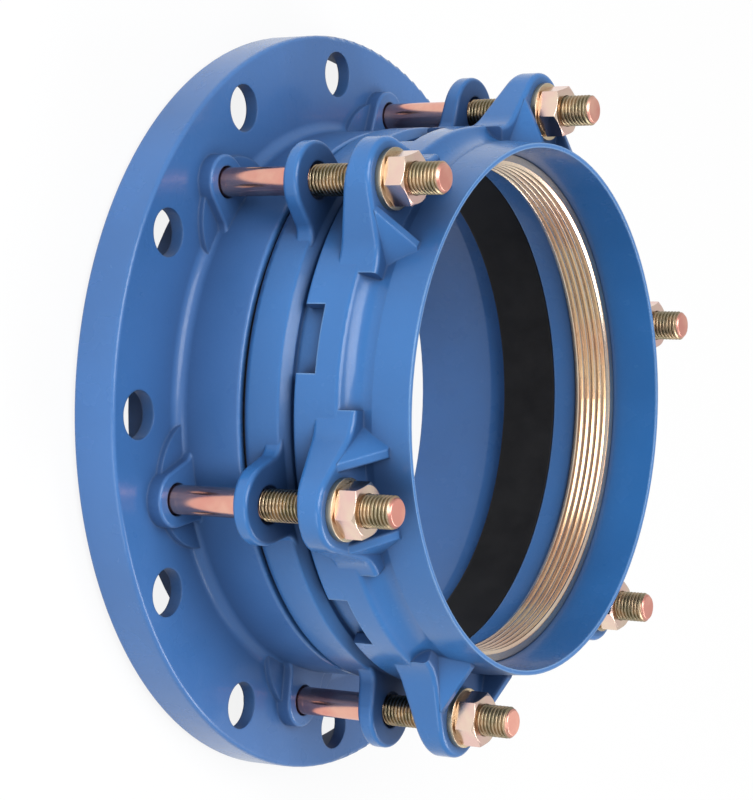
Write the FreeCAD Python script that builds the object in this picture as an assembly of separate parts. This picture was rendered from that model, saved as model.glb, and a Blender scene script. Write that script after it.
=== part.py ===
import FreeCAD, Part
import math
import os

# Restrained flange adaptor for a plastic pipe. Millimetres and degrees.
# The origin is the centre of the mating face, and +Z is the pipe axis, towards the pipe.

# Radii, each one step outwards from the pipe
PIPE_DIAMETER = 250.0
TEETH_PLAY = 0.5          # pipe to the tips of the grip ring's teeth
SEAL_PLAY = 2.0           # pipe to the gasket's lip
SPIGOT_PLAY = 6.0         # pipe to the gland ring's spigot
MOUTH_PLAY = 8.0          # pipe to the clamp ring's mouth
BORE_PLAY = 11.8          # pipe to the body's bore
SPIGOT_WALL = 7.0
SLIDE_PLAY = 0.8          # spigot to the clamp ring
CLAMP_WALL = 6.2
GLAND_WALL = 4.5
HUB_WALL = 7.2
LIP_WALL = 2.4
STUD_OFFSET = 15.0        # rings' outside to the stud circle
BOLT_OFFSET = 15.0        # stud circle to the bolt circle
RIM_MARGIN = 20.0         # bolt circle to the flange's edge

# Flange and hub
FLANGE_THICKNESS = 26.0
FACE_HEIGHT = 2.0         # raised sealing face
FACE_WIDTH = 12.2
WEB_THICKNESS = 7.0       # wall that the bolt holes go through
RIM_THICKNESS = 7.0
RIM_ROUND = 2.0
BOLT_COUNT = 12
BOLT_HOLE = 24.0
HUB_LENGTH = 36.5
HUB_FILLET = 6.0
BOSS_HEIGHT = 8.0
BOSS_RADIUS = 14.0
BOSS_FLARE = 7.0
SHOULDER_HEIGHT = 3.0     # low pad under each boss
SHOULDER_RADIUS = 33.0
SHOULDER_REACH = 22.0     # hub to the shoulder's outer edge
CAST_ROUND = 1.5
FILLET_SINK = 0.5         # end of a lug's fillets under the surface that they run into

# Studs, nuts and washers
STUD_COUNT = 6
STUD_DIAMETER = 16.0
SHANK_DIAMETER = 14.5
STUD_DEPTH = 24.0         # thread in the boss
STUD_TIP = 2.0            # chamfer at the free end
THREAD_START = 4.0        # front of the gland ring's ears back to the thread
STUD_PROTRUSION = 16.0
BOSS_FLOOR = 4.0          # metal behind the stud
DRILL_SPACE = 1.0
THREAD_PLAY = 0.15
HOLE_PLAY = 1.5
WASHER_DIAMETER = 30.0
WASHER_THICKNESS = 3.0
WASHER_PLAY = 0.5
NUT_FLATS = 24.0
NUT_HEIGHT = 11.0
NUT_CHAMFER = 30.0

# Gasket
SEAT_DEPTH = 17.0         # hub mouth back to the nose of the gasket
LIP_SETBACK = 12.0        # nose of the gasket to its lip
GASKET_FRONT_PLAY = 6.2   # pipe to the gasket's front edge
GASKET_CORNER = 10.0      # gasket's front edge back to its outer corner
RUBBER_PLAY = 0.3

# Gland ring
GLAND_GAP = 2.2           # hub to the gland ring
GLAND_BAND = 25.3
GLAND_ROUND = 4.0         # edge towards the hub
GLAND_SLOPE = 4.4         # length of the bevel towards the clamp ring
GLAND_SPIGOT = 13.0
EAR_SETBACK = 2.5         # front of the ring to the front of the ears
EAR_TIP = 8.0
EAR_ROOT = 11.0
EAR_STEP = 1.0            # outline of the clamp ring's lugs to that of the ears
EAR_FLARE = 4.0
EAR_FILLET = 8.0
EAR_ROUND = 2.0

# Clamp ring
CLAMP_GAP = 4.0           # gland ring to the clamp ring
CLAMP_BAND = 25.0
COVE_LENGTH = 14.0
COVE_DEPTH = 8.0
LIP_LENGTH = 19.5
NOTCH_DEPTH = 11.5
NOTCH_ANGLE = 13.4
LUG_SEAT = 34.5           # rear of the ring to the washers' seat
LUG_TIP = 12.0
LUG_ROOT = 24.5
LUG_RADIUS = 20.5
LUG_FLARE = 28.0
LUG_FILLET = 20.0
LUG_ROUND = 2.5
BAND_ROUND = 3.0
GUSSET_THICKNESS = 4.5
GUSSET_STEP = 1.5         # outline of the lug's tip to the outside of the gusset
GUSSET_DRAFT = 20.0
GUSSET_LENGTH = 13.5      # washers' seat to the foot of the gusset
GUSSET_ROUND = 1.2

# Grip ring
GRIP_GAP = 2.5            # spigot to the grip ring
GRIP_THICKNESS = 5.4      # at the front, tips of the teeth to the cone
GRIP_TAPER = 18.0
TOOTH_COUNT = 6
TOOTH_PITCH = 3.5
TOOTH_DEPTH = 1.6
TOOTH_LAND = 0.7          # flat tip of a tooth
TOOTH_BACK = 0.7          # steep side, towards the mouth
GRIP_END = 0.5            # plain edge in front of the teeth
GRIP_SPLIT = 8.0
GRIP_PLAY = 0.4

# Radii that follow
pipe_r = PIPE_DIAMETER / 2
teeth_r = pipe_r + TEETH_PLAY
bore_r = pipe_r + BORE_PLAY
hub_r = bore_r + HUB_WALL
spigot_in_r = pipe_r + SPIGOT_PLAY
spigot_r = spigot_in_r + SPIGOT_WALL
slide_r = spigot_r + SLIDE_PLAY
ring_r = slide_r + CLAMP_WALL
seat_r = ring_r - GLAND_WALL
mouth_r = pipe_r + MOUTH_PLAY
cove_r = ring_r - COVE_DEPTH
stud_circle_r = ring_r + STUD_OFFSET
bolt_circle_r = stud_circle_r + BOLT_OFFSET
flange_r = bolt_circle_r + RIM_MARGIN
face_r = bore_r + FACE_WIDTH
stud_r = STUD_DIAMETER / 2
stud_hole_r = stud_r + HOLE_PLAY
ear_r = LUG_RADIUS - EAR_STEP
lip_r = mouth_r + LIP_WALL

# Stations along the axis that follow
web_z = FLANGE_THICKNESS - WEB_THICKNESS
boss_z = FLANGE_THICKNESS + BOSS_HEIGHT
hub_z = FLANGE_THICKNESS + HUB_LENGTH
nose_z = hub_z - SEAT_DEPTH
lip_z = nose_z + LIP_SETBACK
gland_z = hub_z + GLAND_GAP
gland_front_z = gland_z + GLAND_BAND
spigot_z = gland_front_z + GLAND_SPIGOT
ear_z = gland_front_z - EAR_SETBACK
clamp_z = gland_front_z + CLAMP_GAP
band_z = clamp_z + CLAMP_BAND
cove_z = band_z + COVE_LENGTH
mouth_z = cove_z + LIP_LENGTH
lug_z = clamp_z + LUG_SEAT
grip_z = spigot_z + GRIP_GAP
grip_length = TOOTH_COUNT * TOOTH_PITCH + GRIP_END
grip_front_z = grip_z + grip_length
nut_z = lug_z + WASHER_THICKNESS
nut_front_z = nut_z + NUT_HEIGHT
stud_end_z = nut_front_z + STUD_PROTRUSION
stud_foot_z = boss_z - STUD_DEPTH
grip_cone_r = teeth_r + GRIP_THICKNESS
grip_rear_r = grip_cone_r + grip_length * math.tan(math.radians(GRIP_TAPER))

stud_start = 180.0 / BOLT_COUNT

AXIS = FreeCAD.Vector(0, 0, 1)
ORIGIN = FreeCAD.Vector(0, 0, 0)
REACH = 2 * flange_r      # longer than anything that it cuts


def radial(r, z):
    """A point in the XZ plane, r out from the pipe axis."""
    return FreeCAD.Vector(r, 0, z)


def outline(start, steps):
    """A closed wire from start: a step of one point is a line, of two an arc through the first."""
    edges = []
    here = start
    for step in steps + [(start,)]:
        there = step[-1]
        if len(step) == 2:
            edges.append(Part.Arc(here, step[0], there).toShape())
        else:
            edges.append(Part.LineSegment(here, there).toShape())
        here = there
    return Part.Wire(edges)


def turned(points):
    """A solid turned about the pipe axis from (r, z) points."""
    corners = [radial(r, z) for r, z in points]
    wire = outline(corners[0], [(corner,) for corner in corners[1:]])
    return Part.Face(wire).revolve(ORIGIN, AXIS, 360)


def rounded_rims(solid, rims, size):
    """Round the full circular edges that lie at the given (r, z) places."""
    picked = []
    for edge in solid.Edges:
        if not isinstance(edge.Curve, Part.Circle):
            continue
        for r, z in rims:
            if abs(edge.Curve.Radius - r) < 0.01 and abs(edge.Curve.Center.z - z) < 0.01:
                picked.append(edge)
    return solid.makeFillet(size, picked)


def around(solid, count, start):
    """Copies of a solid at equal angles about the pipe axis, the first one at start."""
    copies = []
    for index in range(count):
        copy = solid.copy()
        copy.rotate(ORIGIN, AXIS, start + 360.0 * index / count)
        copies.append(copy)
    return copies


def lug_outline(root_r, tip_centre, tip_r, flare, fillet, z):
    """Plan of a lug on +X: a round tip, sides that flare inwards, and fillets at the ring."""
    lean = math.radians(flare)
    foot_r = root_r - FILLET_SINK
    side = FreeCAD.Vector(math.sin(lean), math.cos(lean), 0)
    along = FreeCAD.Vector(math.cos(lean), -math.sin(lean), 0)
    centre = FreeCAD.Vector(tip_centre, 0, 0)
    offset = tip_centre * math.sin(lean) + tip_r + fillet
    run = math.sqrt((foot_r + fillet) ** 2 - offset ** 2)
    corner = side * offset + along * run
    towards = corner * (1 / corner.Length)
    tip_end = centre + side * tip_r
    side_end = corner - side * fillet
    bend = (side + towards).normalize()
    fillet_mid = corner - bend * fillet
    foot = towards * foot_r
    lift = FreeCAD.Vector(0, 0, z)

    def mirrored(point):
        return FreeCAD.Vector(point.x, -point.y, point.z)

    upper = [tip_end, side_end, fillet_mid, foot]
    upper = [point + lift for point in upper]
    lower = [mirrored(point) for point in upper]
    tip = FreeCAD.Vector(tip_centre + tip_r, 0, z)
    steps = [
        (lower[2], lower[1]),
        (lower[0],),
        (tip, upper[0]),
        (upper[1],),
        (upper[2], upper[3]),
        (lift,),
    ]
    return outline(lower[3], steps)


def side_prism(points, width):
    """A block with the given (r, z) section, running across the +X direction."""
    corners = [FreeCAD.Vector(r, -width / 2, z) for r, z in points]
    wire = outline(corners[0], [(corner,) for corner in corners[1:]])
    return Part.Face(wire).extrude(FreeCAD.Vector(0, width, 0))


def upright(r, radius, z, height):
    """A cylinder along the pipe axis, r out on +X."""
    return Part.makeCylinder(radius, height, FreeCAD.Vector(r, 0, z))


def rounded_lug(lug, size):
    """Round the outlines of a lug on +X, front and back, but not where they meet the axis."""
    picked = []
    for edge in lug.Edges:
        upright_edge = abs(edge.tangentAt(edge.FirstParameter).z) > 0.99
        if edge.CenterOfMass.x > pipe_r and not upright_edge:
            picked.append(edge)
    return lug.makeFillet(size, picked)


def tapered_lug(tip_r, flare, fillet, front_z, tip_thickness, root_thickness):
    """A lug on +X with a flat front and a back that slopes from its root to its tip."""
    rear_z = front_z - root_thickness
    plan = lug_outline(ring_r, stud_circle_r, tip_r, flare, fillet, rear_z)
    block = Part.Face(plan).extrude(FreeCAD.Vector(0, 0, root_thickness))
    end_r = stud_circle_r + tip_r + CAST_ROUND
    section = [
        (0, rear_z),
        (mouth_r, rear_z),
        (end_r, front_z - tip_thickness),
        (end_r, front_z),
        (0, front_z),
    ]
    return block.common(side_prism(section, REACH))


def gusset_section(top_r, z):
    """Section of a gusset beside +X at one height: an upright inside and an outside with draft."""
    outside = LUG_RADIUS + GUSSET_STEP
    inside = outside - GUSSET_THICKNESS
    spread = (top_r - pipe_r) * math.tan(math.radians(GUSSET_DRAFT))
    corners = [
        FreeCAD.Vector(pipe_r, inside, z),
        FreeCAD.Vector(top_r, inside, z),
        FreeCAD.Vector(top_r, outside, z),
        FreeCAD.Vector(pipe_r, outside + spread, z),
    ]
    return outline(corners[0], [(corner,) for corner in corners[1:]])


def gusset_pair():
    """The two gussets of a lug on +X, from the washers' seat down to the foot of the lip."""
    foot_z = lug_z + GUSSET_LENGTH
    foot_r = lip_r + (cove_r - lip_r) * (mouth_z - foot_z) / LIP_LENGTH
    ends = [gusset_section(stud_circle_r, lug_z), gusset_section(foot_r, foot_z)]
    gusset = Part.makeLoft(ends, True, True)
    ridges = []
    for edge in gusset.Edges:
        if edge.Length > GUSSET_LENGTH and edge.CenterOfMass.x > ring_r:
            ridges.append(edge)
    gusset = gusset.makeFillet(GUSSET_ROUND, ridges)
    return [gusset, gusset.mirror(ORIGIN, FreeCAD.Vector(0, 1, 0))]


def flange_body():
    """The main casting: flange with a recessed back, hub, stud bosses and gasket seat."""
    body = turned([
        (0, 0),
        (face_r, 0),
        (face_r, web_z),
        (flange_r - RIM_THICKNESS, web_z),
        (flange_r - RIM_THICKNESS, FACE_HEIGHT),
        (flange_r, FACE_HEIGHT),
        (flange_r, FLANGE_THICKNESS),
        (hub_r, FLANGE_THICKNESS),
        (hub_r, hub_z),
        (0, hub_z),
    ])
    body = rounded_rims(body, [(flange_r, FACE_HEIGHT), (flange_r, FLANGE_THICKNESS)], RIM_ROUND)
    body = rounded_rims(body, [(hub_r, FLANGE_THICKNESS)], HUB_FILLET)
    body = rounded_rims(body, [(hub_r, hub_z)], CAST_ROUND)

    plan = lug_outline(hub_r, stud_circle_r, BOSS_RADIUS, BOSS_FLARE, HUB_FILLET, web_z)
    boss = Part.Face(plan).extrude(FreeCAD.Vector(0, 0, boss_z - web_z))
    boss = rounded_lug(boss, CAST_ROUND)
    back_z = stud_foot_z - DRILL_SPACE - BOSS_FLOOR
    back = upright(stud_circle_r, BOSS_RADIUS, back_z, web_z - back_z)
    shoulder_centre = hub_r + SHOULDER_REACH - SHOULDER_RADIUS
    shoulder_height = WEB_THICKNESS + SHOULDER_HEIGHT
    shoulder = upright(shoulder_centre, SHOULDER_RADIUS, web_z, shoulder_height)
    pads = []
    for pad in (boss, back, shoulder):
        pads += around(pad, STUD_COUNT, stud_start)
    body = body.fuse(pads).removeSplitter()

    bore = turned([(0, 0), (bore_r, 0), (bore_r, nose_z), (seat_r, hub_z), (0, hub_z)])
    bolt_hole = upright(bolt_circle_r, BOLT_HOLE / 2, 0, FLANGE_THICKNESS)
    hole_depth = STUD_DEPTH + DRILL_SPACE
    stud_hole = upright(stud_circle_r, stud_r + THREAD_PLAY, boss_z - hole_depth, hole_depth)
    holes = around(bolt_hole, BOLT_COUNT, 0) + around(stud_hole, STUD_COUNT, stud_start)
    return body.cut([bore] + holes)


def gasket():
    """The rubber ring: a nose in the hub's seat, a lip at the pipe and a sloping front."""
    outer_r = seat_r - RUBBER_PLAY
    front_z = gland_front_z
    return turned([
        (bore_r - RUBBER_PLAY, nose_z),
        (pipe_r + SEAL_PLAY, lip_z),
        (pipe_r + GASKET_FRONT_PLAY, front_z),
        (outer_r, front_z - GASKET_CORNER),
        (outer_r, hub_z),
    ])


def gland_ring():
    """The middle casting: a band with six ears, and a spigot under the clamp ring."""
    corner_z = gland_front_z - GASKET_CORNER
    ring = turned([
        (0, gland_z),
        (ring_r, gland_z),
        (ring_r, gland_front_z - GLAND_SLOPE),
        (seat_r, gland_front_z),
        (spigot_r, gland_front_z),
        (spigot_r, spigot_z),
        (0, spigot_z),
    ])
    ring = rounded_rims(ring, [(ring_r, gland_z)], GLAND_ROUND)
    ring = rounded_rims(ring, [(ring_r, gland_front_z - GLAND_SLOPE)], CAST_ROUND)
    ear = tapered_lug(ear_r, EAR_FLARE, EAR_FILLET, ear_z, EAR_TIP, EAR_ROOT)
    ear = rounded_lug(ear, EAR_ROUND)
    ring = ring.fuse(around(ear, STUD_COUNT, stud_start)).removeSplitter()

    inside = turned([
        (0, gland_z),
        (seat_r, gland_z),
        (seat_r, corner_z + RUBBER_PLAY),
        (spigot_in_r, gland_front_z + RUBBER_PLAY),
        (spigot_in_r, spigot_z),
        (0, spigot_z),
    ])
    hole = upright(stud_circle_r, stud_hole_r, gland_z, GLAND_BAND)
    return ring.cut([inside] + around(hole, STUD_COUNT, stud_start))


def clamp_ring():
    """The front casting: notched band, six lugs with gussets, a cove and the open lip."""
    share = math.sqrt(0.5)
    cove_mid = radial(ring_r - share * COVE_DEPTH, band_z + (1 - share) * COVE_LENGTH)
    steps = [
        (radial(ring_r, clamp_z),),
        (radial(ring_r, band_z),),
        (cove_mid, radial(cove_r, cove_z)),
        (radial(lip_r, mouth_z),),
        (radial(0, mouth_z),),
    ]
    ring = Part.Face(outline(radial(0, clamp_z), steps)).revolve(ORIGIN, AXIS, 360)
    ring = rounded_rims(ring, [(ring_r, clamp_z)], CAST_ROUND)
    ring = rounded_rims(ring, [(ring_r, band_z)], BAND_ROUND)

    lug = tapered_lug(LUG_RADIUS, LUG_FLARE, LUG_FILLET, lug_z, LUG_TIP, LUG_ROOT)
    lug = rounded_lug(lug, LUG_ROUND)
    pads = around(lug, STUD_COUNT, stud_start)
    for gusset in gusset_pair():
        pads += around(gusset, STUD_COUNT, stud_start)
    ring = ring.fuse(pads).removeSplitter()

    cone_front_r = grip_cone_r + GRIP_PLAY
    cone_rear_r = grip_rear_r + GRIP_PLAY
    inside = turned([
        (0, clamp_z),
        (slide_r, clamp_z),
        (slide_r, spigot_z),
        (cone_rear_r, grip_z),
        (cone_front_r, grip_front_z),
        (mouth_r, mouth_z),
        (0, mouth_z),
    ])
    hole = upright(stud_circle_r, stud_hole_r, clamp_z, LUG_SEAT)
    notch_face = Part.Face(outline(radial(0, clamp_z), [
        (radial(stud_circle_r, clamp_z),),
        (radial(stud_circle_r, clamp_z + NOTCH_DEPTH),),
        (radial(0, clamp_z + NOTCH_DEPTH),),
    ]))
    notch = notch_face.revolve(ORIGIN, AXIS, NOTCH_ANGLE)
    notch_start = stud_start + (360.0 / STUD_COUNT - NOTCH_ANGLE) / 2
    cuts = around(hole, STUD_COUNT, stud_start) + around(notch, STUD_COUNT, notch_start)
    return ring.cut([inside] + cuts)


def grip_ring():
    """The brass ring: a cone outside, rows of saw teeth inside, and one split to close."""
    root_r = teeth_r + TOOTH_DEPTH
    points = [(grip_rear_r, grip_z)]
    for index in range(TOOTH_COUNT):
        rear = grip_z + index * TOOTH_PITCH
        land_end = rear + TOOTH_PITCH - TOOTH_BACK
        points.append((root_r, rear))
        points.append((teeth_r, land_end - TOOTH_LAND))
        points.append((teeth_r, land_end))
    points.append((root_r, grip_z + TOOTH_COUNT * TOOTH_PITCH))
    points.append((root_r, grip_front_z))
    points.append((grip_cone_r, grip_front_z))
    ring = turned(points)
    split = Part.makeBox(REACH, GRIP_SPLIT, mouth_z, FreeCAD.Vector(-REACH, -GRIP_SPLIT / 2, 0))
    return ring.cut(split)


def stud():
    """A stud on +X: thread in the boss, smooth shank, long thread with a chamfered end."""
    shank_r = SHANK_DIAMETER / 2
    thread_z = ear_z - THREAD_START
    shape = turned([
        (0, stud_foot_z),
        (stud_r, stud_foot_z),
        (stud_r, boss_z - STUD_TIP),
        (shank_r, boss_z),
        (shank_r, thread_z),
        (stud_r, thread_z + STUD_TIP),
        (stud_r, stud_end_z - STUD_TIP),
        (stud_r - STUD_TIP, stud_end_z),
        (0, stud_end_z),
    ])
    shape.translate(FreeCAD.Vector(stud_circle_r, 0, 0))
    return shape


def washer():
    """A flat washer on +X, on the clamp ring's lug."""
    disc = upright(stud_circle_r, WASHER_DIAMETER / 2, lug_z, WASHER_THICKNESS)
    return disc.cut(upright(stud_circle_r, stud_r + WASHER_PLAY, lug_z, WASHER_THICKNESS))


def nut():
    """A hexagon nut on +X with both faces chamfered, one corner pointing outwards."""
    corner_r = NUT_FLATS / 2 / math.cos(math.pi / 6)
    corners = []
    for index in range(6):
        angle = math.pi / 3 * index
        across = FreeCAD.Vector(math.cos(angle), math.sin(angle), 0) * corner_r
        corners.append(across + FreeCAD.Vector(0, 0, nut_z))
    hexagon = outline(corners[0], [(corner,) for corner in corners[1:]])
    prism = Part.Face(hexagon).extrude(FreeCAD.Vector(0, 0, NUT_HEIGHT))
    drop = (corner_r - NUT_FLATS / 2) * math.tan(math.radians(NUT_CHAMFER))
    chamfer = turned([
        (0, nut_z),
        (NUT_FLATS / 2, nut_z),
        (corner_r, nut_z + drop),
        (corner_r, nut_front_z - drop),
        (NUT_FLATS / 2, nut_front_z),
        (0, nut_front_z),
    ])
    bore = Part.makeCylinder(stud_r + THREAD_PLAY, NUT_HEIGHT, FreeCAD.Vector(0, 0, nut_z))
    shape = prism.common(chamfer).cut(bore)
    shape.translate(FreeCAD.Vector(stud_circle_r, 0, 0))
    return shape


nodes = {
    "flange_body": flange_body(),
    "gasket": gasket(),
    "gland_ring": gland_ring(),
    "clamp_ring": clamp_ring(),
    "grip_ring": grip_ring(),
}
for kind, shape in (("stud", stud()), ("washer", washer()), ("nut", nut())):
    for index, copy in enumerate(around(shape, STUD_COUNT, stud_start)):
        nodes[kind + "_" + str(index + 1)] = copy

os.makedirs("parts", exist_ok=True)
for name, shape in nodes.items():
    solids = shape.Solids
    print(name, "solids", len(solids), "valid", shape.isValid(), "volume", round(shape.Volume))
    solids[0].exportStep("parts/" + name + ".step")
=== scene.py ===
import bpy
import math
import numpy as np
from mathutils import Matrix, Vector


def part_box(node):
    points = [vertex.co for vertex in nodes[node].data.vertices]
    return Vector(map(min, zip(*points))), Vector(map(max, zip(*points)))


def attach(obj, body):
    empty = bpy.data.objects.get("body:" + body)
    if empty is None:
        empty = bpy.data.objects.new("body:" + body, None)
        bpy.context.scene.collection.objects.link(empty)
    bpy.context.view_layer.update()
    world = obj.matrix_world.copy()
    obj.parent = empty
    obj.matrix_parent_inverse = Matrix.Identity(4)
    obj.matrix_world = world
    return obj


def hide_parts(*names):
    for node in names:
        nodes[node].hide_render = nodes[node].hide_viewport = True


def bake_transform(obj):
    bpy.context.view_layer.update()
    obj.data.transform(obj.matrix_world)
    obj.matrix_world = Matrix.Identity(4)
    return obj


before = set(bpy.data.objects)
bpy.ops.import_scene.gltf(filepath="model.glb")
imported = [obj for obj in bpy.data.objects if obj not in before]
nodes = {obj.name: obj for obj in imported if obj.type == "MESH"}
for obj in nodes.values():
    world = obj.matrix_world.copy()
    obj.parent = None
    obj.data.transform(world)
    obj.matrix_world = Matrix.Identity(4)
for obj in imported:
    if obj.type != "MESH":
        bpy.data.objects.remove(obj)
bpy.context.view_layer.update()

# The three castings: flange body, gland ring and clamp ring. Ductile iron, blasted and coated
# hot with blue epoxy powder. The coat flows over the sand-cast skin, so edges look soft. A painted
# highlight makes the edges pale, and painted shade makes the coat deeper in tone in the hollows.
# Body and rings wear the same coat; their tones differ only as painted light, the body's redder
# and its deep tone lighter.
BODY_SHADED_AND_PLAIN_TONES = ((0.031, 0.077, 0.196), (0.054, 0.175, 0.455))    # painted shade tone and plain tone
RING_SHADED_AND_PLAIN_TONES = ((0.018, 0.058, 0.165), (0.036, 0.174, 0.475))
# Painted highlight: a pale blue laid along the castings' open edges.
COATING_EDGE_HIGHLIGHT = (0.260, 0.470, 0.800)
COATING_EDGE_ROUND = 0.0016
BODY_HOLLOWS = (0.200, 0.40)    # how far off a wall still makes a hollow, in metres, and the share of open sky at which the painted shade is deepest and the coat dullest
RING_HOLLOWS = (0.075, 0.55)    # and the share of open sky at which the coat is deepest
OPEN_SKY = 0.96                 # share of open sky from which the coat is plain, without painted shade
HIGHLIGHT_SKY = (0.88, 0.99)        # shares of open sky between which an edge gets its painted highlight
# how strong the painted highlight along the edges is
EDGE_HIGHLIGHT_STRENGTH = 0.7
CLOUD_SHADE = (0.8, 1.0)        # faint clouds in the coat
COATING_ROUGHNESS = (0.20, 0.30)
HOLLOW_DULLNESS = 0.35
COATING_SPECULAR = 0.36
COATING_CLEAR = 0.30
COATING_CLEAR_ROUGHNESS = 0.10
SAND_SIZE = 55.0                # lumps a metre of the sand-cast skin
SAND_HEIGHT = 0.00030
PEEL_SIZE = 420.0               # waves a metre of the coat's orange peel
PEEL_HEIGHT = 0.00003
CLOUD_SIZE = 14.0


def socket(group, name, kind, direction, value=None):
    """One named input or output of a shader node group."""
    made = group.interface.new_socket(
        name=name, in_out=direction, socket_type="NodeSocket" + kind)
    if value is not None:
        made.default_value = value
    return made


def link(tree, start, start_socket, end, end_socket):
    """Join an output of one node to an input of another."""
    tree.links.new(start.outputs[start_socket], end.inputs[end_socket])


def noise_node(tree, points, scale, detail, roughness):
    """A three-dimensional noise on the given points."""
    made = tree.nodes.new("ShaderNodeTexNoise")
    made.inputs["Scale"].default_value = scale
    made.inputs["Detail"].default_value = detail
    made.inputs["Roughness"].default_value = roughness
    tree.links.new(points, made.inputs["Vector"])
    return made


def range_node(tree, value, low, high, out_low, out_high):
    """Carry values from one range to another, held at its ends."""
    made = tree.nodes.new("ShaderNodeMapRange")
    ends = {"From Min": low, "From Max": high, "To Min": out_low, "To Max": out_high}
    for name, number in ends.items():
        made.inputs[name].default_value = number
    tree.links.new(value, made.inputs["Value"])
    return made


def math_node(tree, operation, first, second):
    """One operation on two values, each an output of a node or a number."""
    made = tree.nodes.new("ShaderNodeMath")
    made.operation = operation
    for index, value in enumerate((first, second)):
        if isinstance(value, (int, float)):
            made.inputs[index].default_value = value
        else:
            tree.links.new(value, made.inputs[index])
    return made.outputs["Value"]


def cast_skin_group():
    """Sand-cast lumps and orange peel: a height in metres, and two masks from 0 to 1."""
    group = bpy.data.node_groups.new("cast skin", "ShaderNodeTree")
    socket(group, "Lump Size", "Float", "INPUT", SAND_SIZE)
    socket(group, "Peel Size", "Float", "INPUT", PEEL_SIZE)
    socket(group, "Height", "Float", "OUTPUT")
    socket(group, "Film", "Float", "OUTPUT")
    socket(group, "Gloss", "Float", "OUTPUT")
    entry = group.nodes.new("NodeGroupInput")
    leave = group.nodes.new("NodeGroupOutput")
    place = group.nodes.new("ShaderNodeTexCoord").outputs["Object"]
    lumps = noise_node(group, place, SAND_SIZE, 3.0, 0.55)
    peel = noise_node(group, place, PEEL_SIZE, 2.0, 0.5)
    broad = noise_node(group, place, CLOUD_SIZE, 2.0, 0.5)
    link(group, entry, "Lump Size", lumps, "Scale")
    link(group, entry, "Peel Size", peel, "Scale")
    tall = range_node(group, lumps.outputs["Fac"], 0.0, 1.0, 0.0, SAND_HEIGHT)
    fine = range_node(group, peel.outputs["Fac"], 0.0, 1.0, 0.0, PEEL_HEIGHT)
    total = math_node(group, "ADD", tall.outputs["Result"], fine.outputs["Result"])
    film = range_node(group, broad.outputs["Fac"], 0.35, 0.65, 0.0, 1.0)
    gloss = range_node(group, lumps.outputs["Fac"], 0.3, 0.7, 0.0, 1.0)
    group.links.new(total, leave.inputs["Height"])
    link(group, film, "Result", leave, "Film")
    link(group, gloss, "Result", leave, "Gloss")
    return group


def edge_group():
    """Where a piece has an edge: a softened normal, and a mask that is 1 along the edge."""
    group = bpy.data.node_groups.new("soft edge", "ShaderNodeTree")
    socket(group, "Radius", "Float", "INPUT", COATING_EDGE_ROUND)
    socket(group, "Normal", "Vector", "OUTPUT")
    socket(group, "Edge", "Float", "OUTPUT")
    entry = group.nodes.new("NodeGroupInput")
    leave = group.nodes.new("NodeGroupOutput")
    soft = group.nodes.new("ShaderNodeBevel")
    soft.samples = 6
    link(group, entry, "Radius", soft, "Radius")
    flat = group.nodes.new("ShaderNodeNewGeometry")
    turn = group.nodes.new("ShaderNodeVectorMath")
    turn.operation = "DOT_PRODUCT"
    link(group, soft, "Normal", turn, 0)
    link(group, flat, "Normal", turn, 1)
    edge = range_node(group, turn.outputs["Value"], 0.995, 0.90, 0.0, 1.0)
    link(group, soft, "Normal", leave, "Normal")
    link(group, edge, "Result", leave, "Edge")
    return group


cast_skin = cast_skin_group()
soft_edge = edge_group()


def placed_group(tree, group, **values):
    """A node group placed in a material, with its own values."""
    made = tree.nodes.new("ShaderNodeGroup")
    made.node_tree = group
    for name, value in values.items():
        made.inputs[name.replace("_", " ")].default_value = value
    return made


def new_material(name):
    """An empty node material with its surface shader."""
    made = bpy.data.materials.new(name)
    made.use_nodes = True
    return made, made.node_tree, made.node_tree.nodes["Principled BSDF"]


def mixed_colour(tree, share, low, high):
    """A colour that runs from low to high with a share from 0 to 1.

    Each of the two is a colour or an output of a node.
    """
    made = tree.nodes.new("ShaderNodeMix")
    made.data_type = "RGBA"
    for index, colour in ((6, low), (7, high)):
        if isinstance(colour, tuple):
            made.inputs[index].default_value = (*colour, 1.0)
        else:
            tree.links.new(colour, made.inputs[index])
    tree.links.new(share, made.inputs["Factor"])
    return made.outputs[2]


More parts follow.
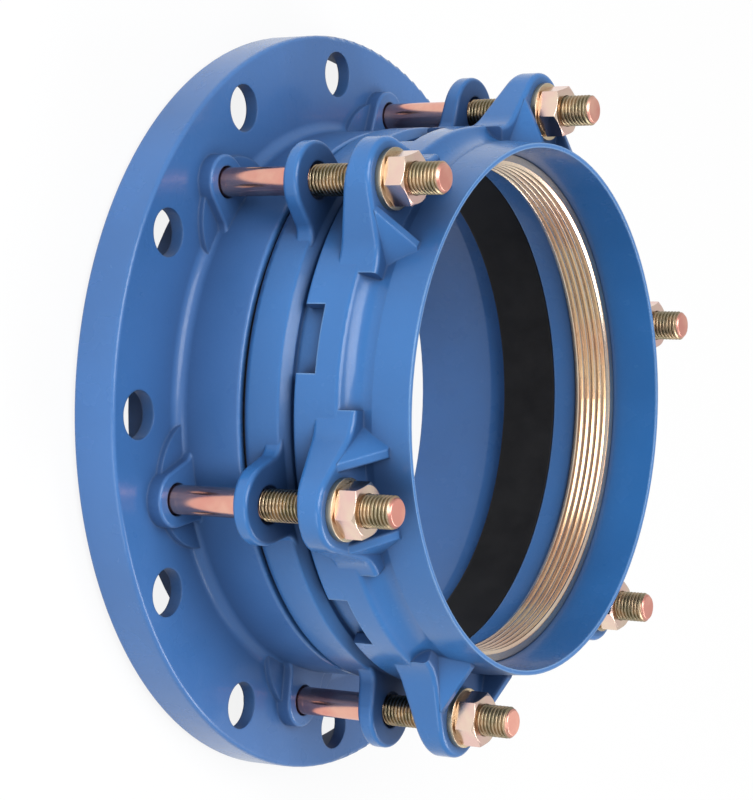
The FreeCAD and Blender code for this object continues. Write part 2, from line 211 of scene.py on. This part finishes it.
def coating_material(name, tones, hollows, by_itself):
    """Glossy blue epoxy over a cast skin, with a painted highlight along the edges, and painted
    shade and a duller gloss in the hollows.

    With by_itself, only the casting's own walls make hollows.
    """
    made, tree, shader = new_material(name)
    reach, shadiest_sky = hollows
    skin = placed_group(tree, cast_skin, Lump_Size=SAND_SIZE, Peel_Size=PEEL_SIZE)
    edge = placed_group(tree, soft_edge, Radius=COATING_EDGE_ROUND)
    hollow = tree.nodes.new("ShaderNodeAmbientOcclusion")
    hollow.samples = 8
    hollow.only_local = by_itself
    hollow.inputs["Distance"].default_value = reach
    # Painted shade: where walls close off the sky, the colour runs from the plain tone to the deep
    # one.
    sky = hollow.outputs["AO"]
    unshaded_share = range_node(tree, sky, shadiest_sky, OPEN_SKY, 0.0, 1.0).outputs["Result"]
    cloud = range_node(tree, skin.outputs["Film"], 0.0, 1.0, *CLOUD_SHADE).outputs["Result"]
    body = mixed_colour(tree, math_node(tree, "MULTIPLY", unshaded_share, cloud), *tones)
    # Painted highlight: pale blue along edges that stand in open sky.
    highlight_share = range_node(tree, sky, *HIGHLIGHT_SKY, 0.0, EDGE_HIGHLIGHT_STRENGTH).outputs["Result"]
    edge_highlight = math_node(tree, "MULTIPLY", edge.outputs["Edge"], highlight_share)
    tree.links.new(mixed_colour(tree, edge_highlight, body, COATING_EDGE_HIGHLIGHT), shader.inputs["Base Color"])
    rough = range_node(tree, skin.outputs["Gloss"], 0.0, 1.0, *COATING_ROUGHNESS).outputs["Result"]
    dull = range_node(tree, sky, shadiest_sky, OPEN_SKY, HOLLOW_DULLNESS, 0.0).outputs["Result"]
    tree.links.new(math_node(tree, "ADD", rough, dull), shader.inputs["Roughness"])
    bump = tree.nodes.new("ShaderNodeBump")
    bump.inputs["Distance"].default_value = 1.0
    link(tree, skin, "Height", bump, "Height")
    link(tree, edge, "Normal", bump, "Normal")
    link(tree, bump, "Normal", shader, "Normal")
    clear = range_node(tree, sky, shadiest_sky, OPEN_SKY, 0.0, COATING_CLEAR)
    link(tree, clear, "Result", shader, "Coat Weight")
    shader.inputs["Coat Roughness"].default_value = COATING_CLEAR_ROUGHNESS
    shader.inputs["Specular IOR Level"].default_value = COATING_SPECULAR
    return made


body_coating = coating_material("blue epoxy on the body", BODY_SHADED_AND_PLAIN_TONES, BODY_HOLLOWS, True)
ring_coating = coating_material("blue epoxy on the rings", RING_SHADED_AND_PLAIN_TONES, RING_HOLLOWS, False)


def finish_node(name, material):
    """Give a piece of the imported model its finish."""
    nodes[name].data.materials.clear()
    nodes[name].data.materials.append(material)


finish_node("flange_body", body_coating)
finish_node("gland_ring", ring_coating)
finish_node("clamp_ring", ring_coating)

# Gasket: one ring of black rubber, moulded, with rounded corners. Its nose lies in the hub and
# its front under the gland ring, which presses it together as the rings are drawn in. The
# outline is (r, z), from the nose round the outside to the front and back along the bore.
GASKET_NOSE = (0.1385, 0.0546)
GASKET_SEAT = (0.1402, 0.0625)
GASKET_SHOULDER = (0.1402, 0.0800)
GASKET_FRONT = (0.1312, 0.0900)
GASKET_LIP = (0.1273, 0.0595)
GASKET_ROUND = 0.0012
GASKET_ROW = 0.0012
GASKET_COLUMNS = 288
RUBBER_TONE = (0.0105, 0.0105, 0.0115)
RUBBER_BLOOM = (0.0190, 0.0190, 0.0200)
RUBBER_ROUGHNESS = (0.50, 0.65)
RUBBER_SPECULAR = 0.15
BLOOM_SIZE = 60.0
GRAIN_SIZE = 900.0
GRAIN_HEIGHT = 0.00004


def rounded_profile(corners, radius, steps):
    """A closed (r, z) outline with each corner replaced by steps points on a quadratic curve."""
    corners = np.asarray(corners, float)
    before = np.roll(corners, 1, axis=0) - corners
    after = np.roll(corners, -1, axis=0) - corners
    start = corners + before / np.linalg.norm(before, axis=1, keepdims=True) * radius
    end = corners + after / np.linalg.norm(after, axis=1, keepdims=True) * radius
    t = np.linspace(0.0, 1.0, steps)[None, :, None]
    curve = (1 - t) ** 2 * start[:, None] + t ** 2 * end[:, None]
    curve = curve + 2 * t * (1 - t) * corners[:, None]
    return curve.reshape(-1, 2)


def divided(outline, spacing):
    """The closed outline with points added along its long sides, at most spacing apart."""
    closed = np.vstack([outline, outline[:1]])
    lengths = np.linalg.norm(np.diff(closed, axis=0), axis=1)
    along = np.concatenate([[0.0], np.cumsum(lengths)])
    counts = np.ceil(lengths / spacing).astype(int)
    stops = [np.linspace(a, b, n, endpoint=False) for a, b, n in zip(along, along[1:], counts)]
    stops = np.concatenate(stops)
    return np.stack([np.interp(stops, along, closed[:, axis]) for axis in (0, 1)], 1)


def mesh_from_grid(name, points, close_u, close_v, capped=False):
    """A quad mesh from points[u, v], joined end to end along the directions that close.

    With capped, the first and the last row of a tube are closed by flat faces.
    """
    count_u, count_v = points.shape[:2]
    u = np.arange(count_u if close_u else count_u - 1)[:, None]
    v = np.arange(count_v if close_v else count_v - 1)[None, :]
    next_u = (u + 1) % count_u
    next_v = (v + 1) % count_v
    corners = [(u, v), (next_u, v), (next_u, next_v), (u, next_v)]
    quads = np.stack([row * count_v + column for row, column in corners], -1)
    faces = quads.reshape(-1, 4).tolist()
    if capped:
        last = count_v - 1
        faces.append((np.arange(count_u)[::-1] * count_v).tolist())
        faces.append((np.arange(count_u) * count_v + last).tolist())
    mesh = bpy.data.meshes.new(name)
    mesh.from_pydata(points.reshape(-1, 3), [], faces)
    mesh.shade_smooth()
    if capped:
        for face in mesh.polygons[-2:]:
            face.use_smooth = False
    made = bpy.data.objects.new(name, mesh)
    bpy.context.scene.collection.objects.link(made)
    return made


def revolved(name, profile, count):
    """Turn an (r, z) outline about the pipe axis: x = r cos a, y = r sin a."""
    angle = np.linspace(0.0, 2 * math.pi, count, endpoint=False)[:, None]
    r, z = profile[None, :, 0], profile[None, :, 1]
    points = np.stack([r * np.cos(angle), r * np.sin(angle), z + 0 * angle], -1)
    return mesh_from_grid(name, points, True, True)


def rubber_material():
    """Dull black rubber with a faint bloom."""
    made, tree, shader = new_material("black rubber")
    place = tree.nodes.new("ShaderNodeTexCoord").outputs["Object"]
    bloom = noise_node(tree, place, BLOOM_SIZE, 4.0, 0.6)
    share = range_node(tree, bloom.outputs["Fac"], 0.3, 0.7, 0.0, 1.0)
    tree.links.new(mixed_colour(tree, share.outputs["Result"], RUBBER_TONE, RUBBER_BLOOM),
                   shader.inputs["Base Color"])
    rough = range_node(tree, bloom.outputs["Fac"], 0.3, 0.7, *RUBBER_ROUGHNESS)
    link(tree, rough, "Result", shader, "Roughness")
    grain = noise_node(tree, place, GRAIN_SIZE, 2.0, 0.5)
    bump = tree.nodes.new("ShaderNodeBump")
    bump.inputs["Distance"].default_value = GRAIN_HEIGHT
    link(tree, grain, "Fac", bump, "Height")
    link(tree, bump, "Normal", shader, "Normal")
    shader.inputs["Specular IOR Level"].default_value = RUBBER_SPECULAR
    return made


gasket_corners = (GASKET_NOSE, GASKET_SEAT, GASKET_SHOULDER, GASKET_FRONT, GASKET_LIP)
gasket_outline = divided(rounded_profile(gasket_corners, GASKET_ROUND, 5), GASKET_ROW)
gasket = revolved("moulded_gasket", gasket_outline, GASKET_COLUMNS)
gasket.data.materials.append(rubber_material())
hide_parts("gasket")
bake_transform(gasket)

# Grip ring: a split ring of bronze, turned, with six rows of saw teeth inside that bite the pipe.
# The tool leaves fine lines round it. It is bright, with a rosy tone in places.
BRONZE_BRIGHT = (0.95, 0.80, 0.61)
BRONZE_ROSY = (0.90, 0.67, 0.51)
BRONZE_ROUGHNESS = (0.16, 0.28)
STAIN_SIZE = 25.0
TOOL_SCALE = 160.0        # about 510 lines a metre
TOOL_WANDER = 0.6
TOOL_HEIGHT = 0.00002


def bronze_material():
    """Turned bronze: lines round the ring, and a warm tone between them."""
    made, tree, shader = new_material("turned bronze")
    place = tree.nodes.new("ShaderNodeTexCoord").outputs["Object"]
    wave = tree.nodes.new("ShaderNodeTexWave")
    wave.bands_direction = "Z"
    wave.inputs["Scale"].default_value = TOOL_SCALE
    wave.inputs["Distortion"].default_value = TOOL_WANDER
    tree.links.new(place, wave.inputs["Vector"])
    stain = noise_node(tree, place, STAIN_SIZE, 3.0, 0.5)
    share = range_node(tree, stain.outputs["Fac"], 0.35, 0.65, 0.0, 1.0)
    tree.links.new(mixed_colour(tree, share.outputs["Result"], BRONZE_BRIGHT, BRONZE_ROSY),
                   shader.inputs["Base Color"])
    rough = range_node(tree, wave.outputs["Fac"], 0.0, 1.0, *BRONZE_ROUGHNESS)
    link(tree, rough, "Result", shader, "Roughness")
    bump = tree.nodes.new("ShaderNodeBump")
    bump.inputs["Distance"].default_value = TOOL_HEIGHT
    link(tree, wave, "Fac", bump, "Height")
    link(tree, bump, "Normal", shader, "Normal")
    shader.inputs["Metallic"].default_value = 1.0
    return made


finish_node("grip_ring", bronze_material())

# Studs: M16 steel rod, zinc plated and passivated yellow, smooth in the middle with a rolled
# thread of 2 mm pitch at each end. One end is screwed into its boss on the flange body, and the
# free end is chamfered. The thin film is pink on the smooth part and greenish gold on the thread.
STUD_COUNT = 6
STUD_RADIUS = 0.0080
STUD_CORE = 0.00677
SHANK_RADIUS = 0.00725
THREAD_PITCH = 0.002
THREAD_FLAT = 0.20        # share of the pitch that is flat at the root, and at the crest
RUN_OUT = 0.004
BOSS_TOP = 0.034
LONG_THREAD_FROM = 0.0835
TIP_RADIUS = 0.0062
TIP_BAND = (0.0016, 0.0008)    # from the free end back: where the gold-green tone ends
ROWS_A_TURN = 12
STUD_COLUMNS = 36
START_STEP = 0.17         # share of a turn between the starts of two studs' threads
FILM_PINK = (0.72, 0.31, 0.25)
FILM_ROSE = (0.80, 0.44, 0.34)
FILM_GOLD = (0.47, 0.35, 0.22)
FILM_GREEN = (0.28, 0.24, 0.15)
# Painted highlight: a pale tone laid along the edges of studs, nuts and washers.
FILM_EDGE_HIGHLIGHT = (0.90, 0.76, 0.66)
FILM_EDGE_ROUND = 0.0005
FILM_EDGE_HIGHLIGHT_STRENGTH = 0.6
FILM_CLOUD_SIZE = 48.0
FILM_SPOT_SIZE = 130.0
FILM_ROUGHNESS_SPREAD = 0.08
THREAD_DULLNESS = 0.22
STUD_ROUGHNESS = 0.12


def smooth_step(value, low, high):
    """A share that runs from 0 at low to 1 at high as 3t^2 - 2t^3."""
    t = np.clip((value - low) / (high - low), 0.0, 1.0)
    return t * t * (3 - 2 * t)


def threaded_stud(name, centre, foot, end, turn):
    """A stud on points (angle, z): the thread's depth follows z / pitch - angle / turn.

    Crests and roots are flat, the thread runs out into the smooth part, and a 45 degree
    chamfer cuts the free end.
    """
    step = THREAD_PITCH / ROWS_A_TURN
    z = np.concatenate([
        np.arange(foot, BOSS_TOP, step),
        np.linspace(BOSS_TOP, LONG_THREAD_FROM, 6, endpoint=False),
        np.arange(LONG_THREAD_FROM, end - step / 2, step),
        [end],
    ])[None, :]
    angle = np.linspace(0.0, 2 * math.pi, STUD_COLUMNS, endpoint=False)[:, None]
    phase = (z / THREAD_PITCH - angle / (2 * math.pi) + turn) % 1.0
    ramp = 1 - np.abs(2 * phase - 1)
    height = np.clip((ramp - THREAD_FLAT) / (1 - 2 * THREAD_FLAT), 0.0, 1.0)
    thread = STUD_CORE + (STUD_RADIUS - STUD_CORE) * height
    cut = smooth_step(z, LONG_THREAD_FROM, LONG_THREAD_FROM + RUN_OUT)
    cut = cut + 1 - smooth_step(z, BOSS_TOP - RUN_OUT, BOSS_TOP)
    radius = SHANK_RADIUS + (thread - SHANK_RADIUS) * cut
    radius = np.minimum(radius, TIP_RADIUS + end - z)
    x = centre[0] + radius * np.cos(angle)
    y = centre[1] + radius * np.sin(angle)
    return mesh_from_grid(name, np.stack([x, y, z + 0 * angle], -1), True, False, capped=True)


def zinc_material(name, tones, roughness, stud=False):
    """Yellow passivated zinc: clouds of two tones, and a painted highlight along the edges.

    On a stud, the thread is a mottled gold-green, and duller towards the free end.
    """
    made, tree, shader = new_material(name)
    coords = tree.nodes.new("ShaderNodeTexCoord").outputs["Object"]
    clouds = noise_node(tree, coords, FILM_CLOUD_SIZE, 3.0, 0.55).outputs["Fac"]
    share = range_node(tree, clouds, 0.40, 0.62, 0.0, 1.0)
    colour = mixed_colour(tree, share.outputs["Result"], *tones)
    highest = roughness + FILM_ROUGHNESS_SPREAD
    rough = range_node(tree, clouds, 0.3, 0.7, roughness, highest).outputs["Result"]
    if stud:
        split = tree.nodes.new("ShaderNodeSeparateXYZ")
        tree.links.new(coords, split.inputs["Vector"])
        along = split.outputs["Z"]
        thread = range_node(tree, along, LONG_THREAD_FROM, LONG_THREAD_FROM + RUN_OUT, 0.0, 1.0)
        tip = range_node(tree, along, stud_end - TIP_BAND[0], stud_end - TIP_BAND[1], 1.0, 0.0)
        green = math_node(tree, "MULTIPLY", thread.outputs["Result"], tip.outputs["Result"])
        spots = noise_node(tree, coords, FILM_SPOT_SIZE, 2.0, 0.5)
        mottle = range_node(tree, spots.outputs["Fac"], 0.42, 0.60, 0.0, 1.0)
        thread_tone = mixed_colour(tree, mottle.outputs["Result"], FILM_GOLD, FILM_GREEN)
        colour = mixed_colour(tree, green, colour, thread_tone)
        matt = range_node(tree, along, LONG_THREAD_FROM, stud_end, 0.0, THREAD_DULLNESS)
        rough = math_node(tree, "ADD", rough, matt.outputs["Result"])
    # Painted highlight: a pale tone along the edges.
    edge = placed_group(tree, soft_edge, Radius=FILM_EDGE_ROUND)
    edge_glint = math_node(tree, "MULTIPLY", edge.outputs["Edge"], FILM_EDGE_HIGHLIGHT_STRENGTH)
    tree.links.new(mixed_colour(tree, edge_glint, colour, FILM_EDGE_HIGHLIGHT), shader.inputs["Base Color"])
    tree.links.new(rough, shader.inputs["Roughness"])
    link(tree, edge, "Normal", shader, "Normal")
    shader.inputs["Metallic"].default_value = 1.0
    return made


stud_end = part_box("stud_1")[1][2]
stud_tones = (FILM_PINK, FILM_ROSE)
zinc_stud = zinc_material("yellow zinc on studs", stud_tones, STUD_ROUGHNESS, stud=True)
for index in range(STUD_COUNT):
    node = "stud_%d" % (index + 1)
    low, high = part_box(node)
    middle = ((low[0] + high[0]) / 2, (low[1] + high[1]) / 2)
    stud = threaded_stud("threaded_" + node, middle, low[2], high[2], START_STEP * index)
    stud.data.materials.append(zinc_stud)
    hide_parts(node)
    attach(stud, "base")

# Washers and nuts: flat steel washers on the lugs, and M16 hexagon nuts with chamfered corners,
# in the same yellow passivated zinc. The film is rosy on the nuts and pale on the washers.
NUT_TONES = ((0.84, 0.66, 0.52), (0.82, 0.55, 0.49))
WASHER_TONES = ((0.48, 0.40, 0.27), (0.70, 0.57, 0.38))
NUT_ROUGHNESS = 0.18
WASHER_ROUGHNESS = 0.24

zinc_nut = zinc_material("yellow zinc on nuts", NUT_TONES, NUT_ROUGHNESS)
zinc_washer = zinc_material("yellow zinc on washers", WASHER_TONES, WASHER_ROUGHNESS)
for index in range(STUD_COUNT):
    finish_node("washer_%d" % (index + 1), zinc_washer)
    finish_node("nut_%d" % (index + 1), zinc_nut)

# Floor: a white sheet under the flange, a hair below its mating face. It looks white, and keeps
# a soft shadow.
FLOOR_HALF = 6.0
FLOOR_LEVEL = -0.0002
FLOOR_TONE = (0.85, 0.85, 0.85)
FLOOR_ROUGHNESS = 0.9
SHADOW_SHARE = 0.12       # how much of the picture of the floor is lit as it really is
FLOOR_GLOSS = 0.6         # how white the floor is in a gloss


def background_share(tree, share, gloss_share):
    """The share for rays that show the background: share to the camera, gloss_share in a gloss."""
    rays = tree.nodes.new("ShaderNodeLightPath")
    camera, through = rays.outputs["Is Camera Ray"], rays.outputs["Is Transmission Ray"]
    seen = math_node(tree, "MAXIMUM", camera, through)
    plain = math_node(tree, "MULTIPLY", seen, share)
    gloss = math_node(tree, "MULTIPLY", rays.outputs["Is Glossy Ray"], gloss_share)
    return math_node(tree, "MAXIMUM", plain, gloss)


def stage_floor():
    """A square sheet just under the mating face, clear when it is seen from below."""
    corners = FLOOR_HALF * np.array([(-1, -1, 0), (1, -1, 0), (1, 1, 0), (-1, 1, 0)], float)
    corners[:, 2] = FLOOR_LEVEL
    mesh = bpy.data.meshes.new("floor")
    mesh.from_pydata(corners.tolist(), [], [(0, 1, 2, 3)])
    made = bpy.data.objects.new("floor", mesh)
    bpy.context.scene.collection.objects.link(made)
    material, tree, shader = new_material("white floor")
    shader.inputs["Base Color"].default_value = (*FLOOR_TONE, 1.0)
    shader.inputs["Roughness"].default_value = FLOOR_ROUGHNESS
    glow = tree.nodes.new("ShaderNodeEmission")
    mix = tree.nodes.new("ShaderNodeMixShader")
    tree.links.new(background_share(tree, 1 - SHADOW_SHARE, FLOOR_GLOSS), mix.inputs["Fac"])
    tree.links.new(shader.outputs["BSDF"], mix.inputs[1])
    tree.links.new(glow.outputs["Emission"], mix.inputs[2])
    side = tree.nodes.new("ShaderNodeNewGeometry")
    clear = tree.nodes.new("ShaderNodeBsdfTransparent")
    one_sided = tree.nodes.new("ShaderNodeMixShader")
    link(tree, side, "Backfacing", one_sided, "Fac")
    link(tree, mix, "Shader", one_sided, 1)
    link(tree, clear, "BSDF", one_sided, 2)
    link(tree, one_sided, "Shader", tree.nodes["Material Output"], "Surface")
    mesh.materials.append(material)


stage_floor()

# Light: white surroundings, and soft boxes round the object. The largest one hangs high on the
# camera's side, over the floor, whose white sheet sends part of its light up under the rings.
# The rows give each box's place, the point that it looks at, its size and its power in watts.
WORLD_LIGHT = 0.38
WORLD_GLOSS = 0.45
SOFT_BOXES = {
    "key": ((-1.15, 0.8, 1.95), (-0.1, 0.0, 0.05), (1.5, 1.5), 42.0),
    "fill": ((-1.8, -0.7, 0.45), (0.0, 0.0, 0.08), (1.2, 0.8), 8.0),
    "back": ((1.0, -0.9, 1.9), (0.0, 0.0, 0.08), (1.0, 1.0), 20.0),
}


def surroundings():
    """A plain white world, dimmer for light than for the eye."""
    world = bpy.data.worlds.new("studio")
    bpy.context.scene.world = world
    world.use_nodes = True
    tree = world.node_tree
    back = tree.nodes["Background"]
    share = background_share(tree, 1.0, WORLD_GLOSS)
    level = range_node(tree, share, 0.0, 1.0, WORLD_LIGHT, 1.0)
    back.inputs["Color"].default_value = (1.0, 1.0, 1.0, 1.0)
    link(tree, level, "Result", back, "Strength")


def soft_box(name, place, aim, size, power):
    """A flat lamp that looks at a point."""
    data = bpy.data.lights.new(name, "AREA")
    data.shape = "RECTANGLE"
    data.size, data.size_y = size
    data.energy = power
    made = bpy.data.objects.new(name, data)
    bpy.context.scene.collection.objects.link(made)
    back = np.array(place, float) - np.array(aim, float)
    back /= np.linalg.norm(back)
    side = np.cross((0.0, 0.0, 1.0), back)
    side /= np.linalg.norm(side)
    turn = np.stack([side, np.cross(back, side), back], 1)
    made.matrix_world = Matrix.Translation(place) @ Matrix(turn.tolist()).to_4x4()


surroundings()
for box_name, (place, aim, size, power) in SOFT_BOXES.items():
    soft_box(box_name, place, aim, size, power)

# Camera: the photograph's own view, with the pipe axis level across the picture. Its place and
# its three axes were fitted to the bolt circle, the studs and the lip. HOLE_TURN carries the fit
# to the object, whose X axis runs through a bolt hole.
FRAME_WIDTH, FRAME_HEIGHT = 753, 800
FOCAL_PIXELS = 2510.4
SENSOR = 36.0
HOLE_TURN = math.radians(-1.189)
SIDEWAYS = (0.52204989, 0.01735954, 0.85273827)
UPWARD = (0.01354525, 0.99949802, -0.02863964)
BACKWARD = (-0.85280738, 0.02650187, 0.5215527)
STANDPOINT = (-1.13709, 0.03724, 0.74718)


def photo_camera():
    """A camera where the photograph's was, with the same field of view in the same frame."""
    data = bpy.data.cameras.new("camera")
    data.sensor_width = SENSOR
    data.lens = FOCAL_PIXELS * SENSOR / max(FRAME_WIDTH, FRAME_HEIGHT)
    made = bpy.data.objects.new("camera", data)
    bpy.context.scene.collection.objects.link(made)
    axes = Matrix((SIDEWAYS, UPWARD, BACKWARD)).transposed()
    fitted = Matrix.Translation(STANDPOINT) @ axes.to_4x4()
    made.matrix_world = Matrix.Rotation(HOLE_TURN, 4, "Z") @ fitted
    bpy.context.scene.camera = made


photo_camera()
bpy.context.scene.view_settings.view_transform = "Standard"
